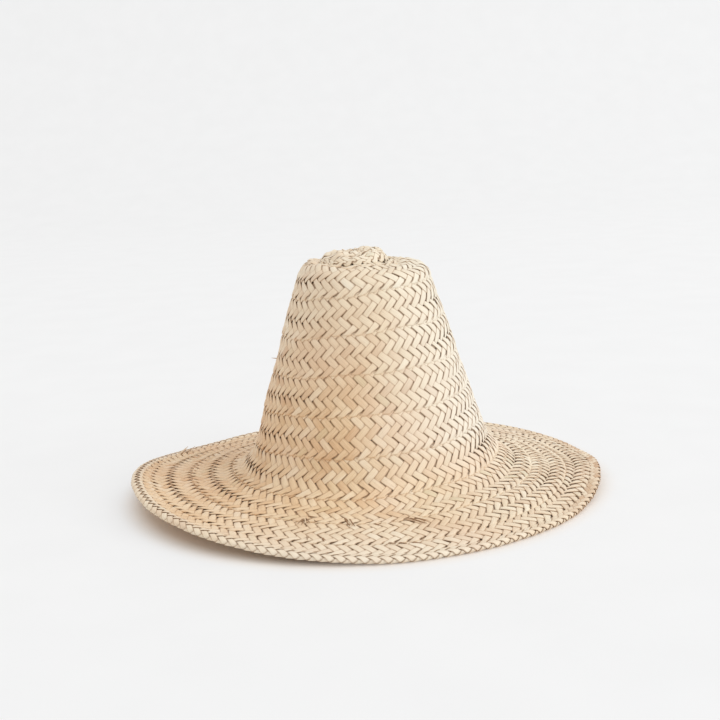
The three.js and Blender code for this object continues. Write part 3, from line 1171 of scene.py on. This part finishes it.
def camera():
    """The viewpoint: low, in front, tipped down a little and rolled a little clockwise."""
    forward = Vector((0, math.cos(CAMERA_PITCH), -math.sin(CAMERA_PITCH)))
    upward = Vector((0, math.sin(CAMERA_PITCH), math.cos(CAMERA_PITCH)))
    place = CAMERA_AIM - forward * CAMERA_AWAY + upward * CAMERA_RAISED
    data = bpy.data.cameras.new("camera")
    data.lens = CAMERA_LENS
    data.sensor_width = CAMERA_SENSOR
    data.clip_end = 100
    data.dof.use_dof = False
    cam = bpy.data.objects.new("camera", data)
    turn = Matrix((Vector((1, 0, 0)), upward, -forward)).transposed().to_4x4()
    cam.matrix_world = Matrix.Translation(place * MM) @ turn @ Matrix.Rotation(-CAMERA_ROLL, 4, "Z")
    bpy.context.scene.collection.objects.link(cam)
    bpy.context.scene.camera = cam


# The key light, in metres and watts: a large soft disk high up in front, to the right.
KEY_PLACE = Vector((4.4, -1.8, 3.8))
KEY_TARGET = Vector((0, 0, 0.08))
KEY_SIZE = 5.0
KEY_POWER = 150
KEY_COLOUR = (0.93, 0.97, 1.0)
WORLD_COLOUR = (1.0, 0.995, 0.99, 1.0)
WORLD_STRENGTH = 0.83


def key_light():
    data = bpy.data.lights.new("key", "AREA")
    data.shape = "DISK"
    data.size = KEY_SIZE
    data.energy = KEY_POWER
    data.color = KEY_COLOUR
    lamp = bpy.data.objects.new("key", data)
    lamp.location = KEY_PLACE
    lamp.rotation_euler = (KEY_TARGET - KEY_PLACE).to_track_quat("-Z", "Y").to_euler()
    bpy.context.scene.collection.objects.link(lamp)


def world():
    w = bpy.data.worlds.new("studio")
    bpy.context.scene.world = w
    w.use_nodes = True
    background = w.node_tree.nodes["Background"]
    background.inputs["Color"].default_value = WORLD_COLOUR
    background.inputs["Strength"].default_value = WORLD_STRENGTH


# The backdrop, in metres: its glow, painted light that lifts the floor's shadows, starts beyond the rim
# and is full a little further out.
# Next to the hat the paper is warmer, a painted warm shade; away from it the paper is grey and glows.
NEAR_PAPER = [(0.3, srgb(240, 228, 215)), (0.7, srgb(243, 231, 218))]
FAR_PAPER = [(0.3, srgb(159, 159, 159)), (0.7, srgb(162, 162, 162))]
GLOW_FROM = 0.172
GLOW_FULL = 0.198
GLOW = 0.53
SWEEP_FRONT = -4.0
SWEEP_BACK = 2.5
SWEEP_RADIUS = 1.5
SWEEP_TOP = 5.0
SWEEP_HALF_WIDTH = 6.0
SWEEP_STEPS = 24


def paper_material():
    """Pale paper. Away from the hat it glows a little, painted light that lifts its shadows; next to the
    hat it doesn't glow, and its warmer colour is painted shade.
    """
    n = Nodes("backdrop_paper")
    where = n.add("ShaderNodeTexCoord").outputs["Object"]
    grain = n.noise(where, 14.0, 3.0, 0.5)
    spot = n.add("ShaderNodeVectorMath", {0: where, 1: (1.0, 1.0, 0.0)}, operation="MULTIPLY")
    reach = n.add("ShaderNodeVectorMath", {0: spot.outputs[0]}, operation="LENGTH").outputs["Value"]
    glow = n.add(
        "ShaderNodeMapRange",
        {"Value": reach, "From Min": GLOW_FROM, "From Max": GLOW_FULL, "To Min": 0.0, "To Max": 1.0},
        interpolation_type="SMOOTHSTEP",
    ).outputs["Result"]
    paper = n.mix(glow, n.ramp(grain, NEAR_PAPER), n.ramp(grain, FAR_PAPER))
    n.link(paper, n.shader.inputs["Base Color"])
    n.shader.inputs["Emission Color"].default_value = (1.0, 1.0, 1.0, 1.0)
    n.link(n.maths("MULTIPLY", glow, GLOW), n.shader.inputs["Emission Strength"])
    n.shader.inputs["Roughness"].default_value = 0.85
    n.shader.inputs["Specular IOR Level"].default_value = 0.1
    return n.material


def backdrop():
    """A pale floor that sweeps up behind the hat in one round."""
    profile = [(SWEEP_FRONT, 0.0)]
    for angle in np.linspace(0, math.pi / 2, SWEEP_STEPS + 1):
        y = SWEEP_BACK + SWEEP_RADIUS * math.sin(angle)
        profile.append((y, SWEEP_RADIUS * (1 - math.cos(angle))))
    profile.append((SWEEP_BACK + SWEEP_RADIUS, SWEEP_TOP))
    verts = [(side * SWEEP_HALF_WIDTH, y, z) for y, z in profile for side in (-1, 1)]
    faces = [(2 * k, 2 * k + 1, 2 * k + 3, 2 * k + 2) for k in range(len(profile) - 1)]
    mesh = bpy.data.meshes.new("backdrop")
    mesh.from_pydata(verts, [], faces)
    mesh.materials.append(paper_material())
    for polygon in mesh.polygons:
        polygon.use_smooth = True
    sweep = bpy.data.objects.new("backdrop", mesh)
    bpy.context.scene.collection.objects.link(sweep)


camera()
backdrop()
world()
key_light()
bpy.context.scene.view_settings.view_transform = "Standard"
